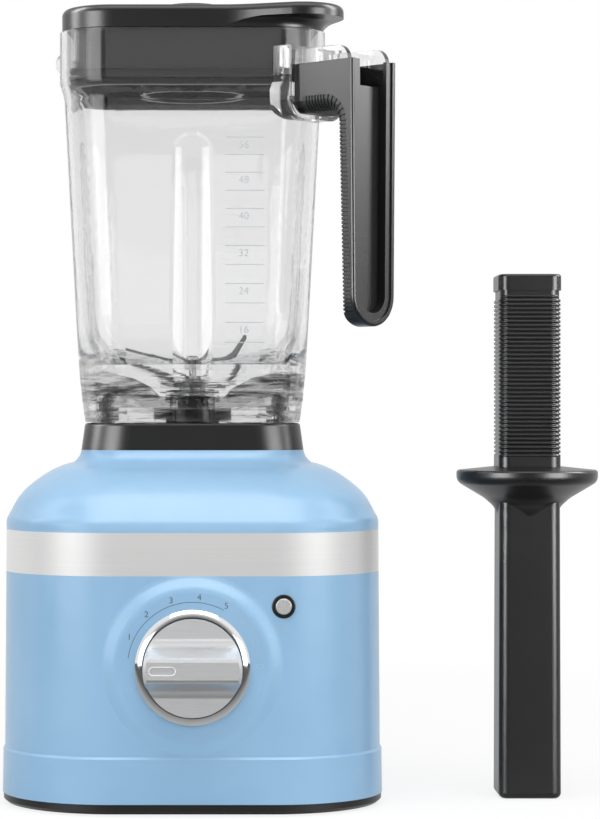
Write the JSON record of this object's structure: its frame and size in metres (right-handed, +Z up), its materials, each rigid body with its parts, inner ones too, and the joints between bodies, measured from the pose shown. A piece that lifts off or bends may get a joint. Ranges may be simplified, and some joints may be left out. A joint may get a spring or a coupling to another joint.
{
  "type": "countertop blender",
  "caption": "Countertop blender with a rounded motor base, control dial, start button, clear square jar with corner handle, lid with centre cap, and a loose tamper.",
  "frame": {"origin": "on the motor axis at the plane the base stands on", "axes": "+Z up along the motor axis, front with the dial towards -Y, +X to the viewer's right"},
  "size_m": [0.313, 0.2393, 0.4213],
  "materials": {
    "blue_paint": "satin enamel on a die casting",
    "brushed_band": "brushed along its length",
    "black_plastic": "satin moulded",
    "black_rubber": "matt",
    "chrome": "polished",
    "satin_metal": "fine brushed",
    "steel": "bright",
    "laminated_steel": "bare laminations",
    "copper": "enamelled wire and bare copper",
    "carbon": "pressed carbon",
    "cast_aluminium": "as cast",
    "moulded_coupler": "glass filled",
    "circuit_board": "laminate",
    "clear_plastic": "clear moulded copolyester"
  },
  "bodies": {
    "base": {"base_housing": "blue_paint", "trim_band": "brushed_band", "foot_plate": "black_plastic", "foot_ring": "black_rubber", "foot_plate_screws": "steel", "dial_bezel": "chrome", "selector_switch": "black_plastic", "start_button_ring": "black_plastic", "button_switch": "black_plastic", "button_spring": "steel", "control_board": "circuit_board", "board_screws": "steel", "cord_gland": "black_plastic", "lower_motor_bracket": "cast_aluminium", "upper_motor_bracket": "cast_aluminium", "lower_motor_bearing": "steel", "upper_motor_bearing": "steel", "stator_core": "laminated_steel", "field_windings": "copper", "carbon_brushes": "carbon", "brush_holders": "black_plastic", "motor_bolts": "steel", "motor_mounts": "black_rubber", "motor_shaft_seal": "black_rubber", "jar_seat_collar": "black_plastic", "collar_screws": "steel"},
    "knob": {"control_knob": "satin_metal", "selector_shaft": "steel"},
    "button": {"start_button": "satin_metal"},
    "motor_rotor": {"motor_shaft": "steel", "armature_core": "laminated_steel", "armature_winding": "copper", "commutator": "copper", "cooling_fan": "black_plastic", "drive_coupler": "cast_aluminium"},
    "jar": {"jar": "clear_plastic", "handle_shell": "black_plastic", "handle_grip": "black_rubber", "handle_screw": "steel", "jar_floor_gasket": "black_rubber", "blade_bearing_housing": "black_plastic", "blade_bearings": "steel", "blade_shaft_seal": "black_rubber", "bearing_retainer_nut": "black_plastic"},
    "blade_rotor": {"blade_shaft": "steel", "blade_spacer": "steel", "upper_blade": "steel", "lower_blade": "steel", "blade_hub_nut": "steel", "driven_coupler": "moulded_coupler"},
    "lid": {"lid_shell": "black_plastic", "lid_gasket": "black_rubber"},
    "cap": {"centre_cap": "black_plastic", "cap_seal": "black_rubber"},
    "tamper": {"tamper_body": "black_plastic", "tamper_end_cap": "black_plastic"}
  },
  "joints": [
    {"name": "knob_turn", "type": "hinge", "parent": "base", "child": "knob", "pos_m": [0, -0.109, 0.0748], "axis": [0, 1, 0], "range_deg": [-20, 197]},
    {"name": "button_press", "type": "slide", "parent": "base", "child": "button", "axis": [0, 1, 0], "range_m": [0, 0.0015], "stiffness_N_per_m": 900, "springref_m": -0.001, "deforming": ["button_spring"]},
    {"name": "motor_spin", "type": "hinge", "parent": "base", "child": "motor_rotor", "pos_m": [0, 0, 0.1], "axis": [0, 0, 1], "continuous": true},
    {"name": "jar_lift", "type": "slide", "parent": "base", "child": "jar", "axis": [0, 0, 1], "range_m": [0, 0.12]},
    {"name": "blade_spin", "type": "hinge", "parent": "jar", "child": "blade_rotor", "pos_m": [0, 0, 0.21], "axis": [0, 0, 1], "continuous": true},
    {"name": "lid_lift", "type": "slide", "parent": "jar", "child": "lid", "axis": [0, 0, 1], "range_m": [0, 0.1]},
    {"name": "cap_lift", "type": "slide", "parent": "lid", "child": "cap", "axis": [0, 0, 1], "range_m": [0, 0.06]},
    {"name": "tamper_lift", "type": "slide", "parent": "base", "child": "tamper", "axis": [0, 0, 1], "range_m": [0, 0.2]}
  ],
  "couplings": [
    {"joint": "blade_spin", "follows": "motor_spin", "ratio": 1}
  ]
}
